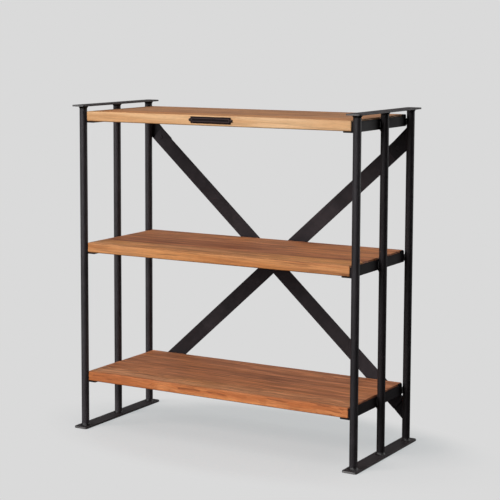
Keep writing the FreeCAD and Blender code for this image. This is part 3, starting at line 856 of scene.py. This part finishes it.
TONES = {
    ("top", "front"): tone(**HONEY, ring=0.0055, pith=(-0.17, 0.99), seed=1.3, warp=0.045,
                           knots=((0.24, -0.165, 0.02),)),
    ("top", "second"): tone(**HONEY_BROWN, ring=0.0065, pith=(-0.03, 0.98), seed=2.9),
    ("top", "third"): tone(**HONEY_BROWN, ring=0.005, pith=(0.10, 1.00), seed=4.1, warp=0.03),
    ("top", "back"): tone(**HONEY_BROWN, ring=0.0075, pith=(0.12, 0.97), seed=5.7,
                          knots=((-0.2, 0.15, 0.016),)),
    ("middle", "front"): tone(**AMBER, ring=0.006, pith=(-0.15, 0.54), seed=6.2, warp=0.03),
    ("middle", "second"): tone(**CHESTNUT, ring=0.0045, pith=(-0.06, 0.40), seed=7.7, warp=0.02,
                               contrast=0.55),
    ("middle", "third"): tone(**RUSSET, ring=0.007, pith=(0.06, 0.55), seed=8.4, contrast=0.65,
                              knots=((0.13, 0.04, 0.014),)),
    ("middle", "back"): tone(**RUSSET, ring=0.0055, pith=(0.20, 0.52), seed=9.9, warp=0.035),
    ("bottom", "front"): tone(**COPPER, ring=0.006, pith=(-0.13, 0.10), seed=10.6, warp=0.03, wave=0.03,
                              contrast=1.0, figure=0.7),
    ("bottom", "second"): tone(**BRICK, ring=0.005, pith=(-0.05, 0.02), seed=11.8, warp=0.02, contrast=0.6,
                               lines=0.4),
    ("bottom", "third"): tone(**BRICK, ring=0.006, pith=(0.02, 0.10), seed=12.5, warp=0.035, contrast=0.45,
                              lines=0.4),
    ("bottom", "back"): tone(**BRICK, ring=0.0045, pith=(0.13, 0.06), seed=13.3, warp=0.025, contrast=0.6,
                             lines=0.4,
                             knots=((0.28, 0.13, 0.013),)),
}


# ---------------------------------------------------------------- steel frame

BEVEL_ANGLE = math.radians(50)
MERGE_DISTANCE = 0.01 * MM


def dress(node, material, bevel):
    """Gives a CAD node its material and softened edges."""
    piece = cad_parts[node]
    piece.data.materials.clear()
    piece.data.materials.append(material)
    weld = piece.modifiers.new("joined_corners", "WELD")
    weld.merge_threshold = MERGE_DISTANCE
    if bevel:
        edge = piece.modifiers.new("eased_edges", "BEVEL")
        edge.width = bevel
        edge.segments = 2
        edge.limit_method = "ANGLE"
        edge.angle_limit = BEVEL_ANGLE
        edge.harden_normals = True


def dress_frame():
    left_post = named_steel("left_post_steel")
    front_post = named_steel("right_front_post_shaded_steel")
    inner_post = named_steel("right_inner_post_shaded_steel")
    posts = {}
    for place in PLACES:
        posts["left", place] = left_post
        # painted shade: the right posts take the darker steel copies
        posts["right", place] = front_post if place == "front" else inner_post
    # the plates' front end edge gets a painted highlight
    plate = named_steel("plate_steel", highlit_end=cad_bounds[0][1])
    bracket = named_steel("bracket_shaded_steel")
    bar = named_steel("bar_steel")
    for side in SIDES:
        for place in PLACES:
            dress(f"{side}_{place}_post", posts[side, place], 0)
        for end in ("foot", "top"):
            dress(f"{side}_{end}_plate", plate, 0)
        for level in LEVELS:
            dress(f"{side}_{level}_bracket", bracket, 0.5 * MM)
    for name in BARS:
        dress(f"{name}_brace_bar", bar, 0.6 * MM)
    for name in ("upper_left", "upper_right", "lower_left", "lower_right"):
        # The gussets take the dark bracket steel as painted shade.
        dress(f"{name}_gusset", bracket, 0.6 * MM)


# ---------------------------------------------------------------- studio

BACKDROP = 0.7011
SKY = 0.16
SUNS = {  # where the light comes from, irradiance over pi, and its angle in degrees
    "key_softbox": ((-0.50, -0.80, 0.31), 0.86, 38),
    "fill_softbox": ((0.62, -0.74, 0.26), 0.07, 60),
    "top_softbox": ((0.05, 0.05, 1.0), 0.22, 80),
}
REFLECTED_ROOM = 0.06  # what glossy surfaces mirror, away from the cards and the lit backdrop
REFLECTED_BACKDROP = 0.14
FRONT_CARDS = (  # centre in X, half-width at full level, half-width where it has faded out, level
    (0.12, 0.10, 0.26, 5.5),
    (-0.62, 0.15, 0.45, 0.1),
)
REAR_CARD = (0.6, 0.15, 0.35, 2.5)  # gives the steel a highlight when it is seen from behind
FLOOR_ALBEDO = (0.46, 0.41, 0.395)  # warm, so that the shelves' bounce leaves a neutral shadow
FLOOR_REACH = 4.0
SHADE_CENTRE = (0.08, -0.03)
SHADE_HALF = (0.62, 0.34)  # half-axes of the ellipse in which the floor takes its full shadow
SHADE_FADE = 1.42  # the ellipse's growth over which the shadow fades out


def build_world():
    """Flat backdrop for the camera, soft sky for shading, and studio cards for reflections."""
    world = bpy.data.worlds.new("studio")
    bpy.context.scene.world = world
    world.use_nodes = True
    tree = world.node_tree

    def add(kind, values=(), **settings):
        node = tree.nodes.new(kind)
        for key, value in settings.items():
            setattr(node, key, value)
        for socket, value in dict(values).items():
            if isinstance(value, bpy.types.NodeSocket):
                tree.links.new(value, node.inputs[socket])
            else:
                node.inputs[socket].default_value = value
        return node

    def band(value, near, far, level):
        """Smooth step from a level at near to nothing at far."""
        return add("ShaderNodeMapRange", {0: value, 1: near, 2: far, 3: level, 4: 0.0},
                   interpolation_type="SMOOTHSTEP").outputs[0]

    def combine(operation, first, second):
        return add("ShaderNodeMath", {0: first, 1: second}, operation=operation).outputs[0]

    way = add("ShaderNodeSeparateXYZ", {0: add("ShaderNodeTexCoord").outputs["Generated"]}).outputs

    def card(centre, full, faded, level, where):
        """Soft-edged upright card, lit only where the mask says."""
        aside = combine("ABSOLUTE", combine("ADD", way["X"], -centre), 0.0)
        return combine("MULTIPLY", band(aside, full, faded, level), where)

    in_front = band(way["Y"], -0.45, -0.1, 1.0)
    at_back = band(way["Y"], 0.45, 0.2, 1.0)
    strip, dim_card = (card(*shape, in_front) for shape in FRONT_CARDS)
    lit_backdrop = band(way["Y"], 0.5, 0.05, REFLECTED_BACKDROP)
    mirrored = combine("ADD", combine("ADD", strip, dim_card), combine("ADD", lit_backdrop, REFLECTED_ROOM))
    mirrored = combine("ADD", mirrored, card(*REAR_CARD, at_back))

    path = add("ShaderNodeLightPath").outputs
    shade = add("ShaderNodeBackground", {"Color": (1, 1, 1, 1), "Strength": SKY}).outputs[0]
    gloss = add("ShaderNodeBackground", {"Color": (1, 1, 1, 1), "Strength": mirrored}).outputs[0]
    seen = add("ShaderNodeBackground", {"Color": (1, 1, 1, 1), "Strength": BACKDROP}).outputs[0]
    unseen = add("ShaderNodeMixShader", {0: path["Is Glossy Ray"], 1: shade, 2: gloss}).outputs[0]
    whole = add("ShaderNodeMixShader", {0: path["Is Camera Ray"], 1: unseen, 2: seen}).outputs[0]
    tree.links.new(whole, tree.nodes["World Output"].inputs["Surface"])


def build_lights():
    for name, (direction, strength, spread) in SUNS.items():
        data = bpy.data.lights.new(name, "SUN")
        data.energy = strength * math.pi
        data.angle = math.radians(spread)
        lamp = bpy.data.objects.new(name, data)
        bpy.context.scene.collection.objects.link(lamp)
        lamp.rotation_euler = Vector(direction).to_track_quat("Z", "Y").to_euler()


def open_floor_light():
    """Irradiance over pi on floor that nothing shades."""
    total = SKY
    for direction, strength, _ in SUNS.values():
        total += strength * Vector(direction).normalized().z
    return total


def build_floor():
    """Floor that looks as bright as the backdrop wherever nothing shades it."""
    sh = Shader("studio_floor")
    light = open_floor_light()
    glow = tuple(BACKDROP - albedo * light for albedo in FLOOR_ALBEDO)
    spot = sh.place((1 / SHADE_HALF[0], 1 / SHADE_HALF[1], 1),
                    (-SHADE_CENTRE[0] / SHADE_HALF[0], -SHADE_CENTRE[1] / SHADE_HALF[1], 0))
    far = sh.step(sh.length(spot), 1.0, SHADE_FADE, 0.0, 1.0)
    camera_ray = sh.add("ShaderNodeLightPath").outputs["Is Camera Ray"]
    material = sh.finish(Base_Color=sh.mix(far, FLOOR_ALBEDO, (0.0, 0.0, 0.0)), Roughness=1.0,
                         Specular_IOR_Level=0.0, Emission_Color=sh.mix(far, glow, (BACKDROP,) * 3),
                         Emission_Strength=camera_ray)
    mesh = bpy.data.meshes.new("studio_floor")
    z = cad_bounds[0][2]
    corners = [(FLOOR_REACH * x, FLOOR_REACH * y, z) for x, y in ((-1, -1), (1, -1), (1, 1), (-1, 1))]
    mesh.from_pydata(corners, [], [(0, 1, 2, 3)])
    mesh.materials.append(material)
    floor = bpy.data.objects.new("studio_floor", mesh)
    bpy.context.scene.collection.objects.link(floor)


CAMERA_LENS = 110.21  # mm, for a sensor 36 mm wide
CAMERA_SHIFT = (0.124, -0.116)
CAMERA_AT = (2.4650, -4.3278, 1.3449)
CAMERA_PITCH = -6.142  # degrees from level
CAMERA_TURN = 31.759  # degrees from looking straight back


def build_camera():
    data = bpy.data.cameras.new("camera")
    data.lens = CAMERA_LENS
    data.sensor_width = 36.0
    data.shift_x, data.shift_y = CAMERA_SHIFT
    data.clip_end = 400
    camera = bpy.data.objects.new("camera", data)
    bpy.context.scene.collection.objects.link(camera)
    camera.location = CAMERA_AT
    camera.rotation_euler = (math.radians(90 + CAMERA_PITCH), 0, math.radians(CAMERA_TURN))
    bpy.context.scene.camera = camera


# ---------------------------------------------------------------- assembly

def build_boards():
    for level in LEVELS:
        for index, stave in enumerate(STAVES):
            node = f"{level}_shelf_{stave}_stave"
            low, high = box_of(node)
            look = TONES[level, stave]
            wood = wood_material(f"{level}_{stave}_wood", look, low.z, high.z)
            build_board(node, look["seed"], index == 0, index == len(STAVES) - 1, wood, f"{level}_shelf")


def build_fixings():
    weld_steel = named_steel("weld_steel")
    for side in SIDES:
        build_plate_welds(side, weld_steel)
        build_bracket_welds(side, weld_steel)
        build_gusset_welds(side, weld_steel)
    build_bolts(named_steel("bolt_steel"))


bpy.context.scene.view_settings.view_transform = "Standard"
build_world()
build_lights()
build_floor()
build_camera()
dress_frame()
build_fixings()
build_boards()
build_nameplate(cast_material(box_of("nameplate")[0].y), named_steel("pin_steel"))
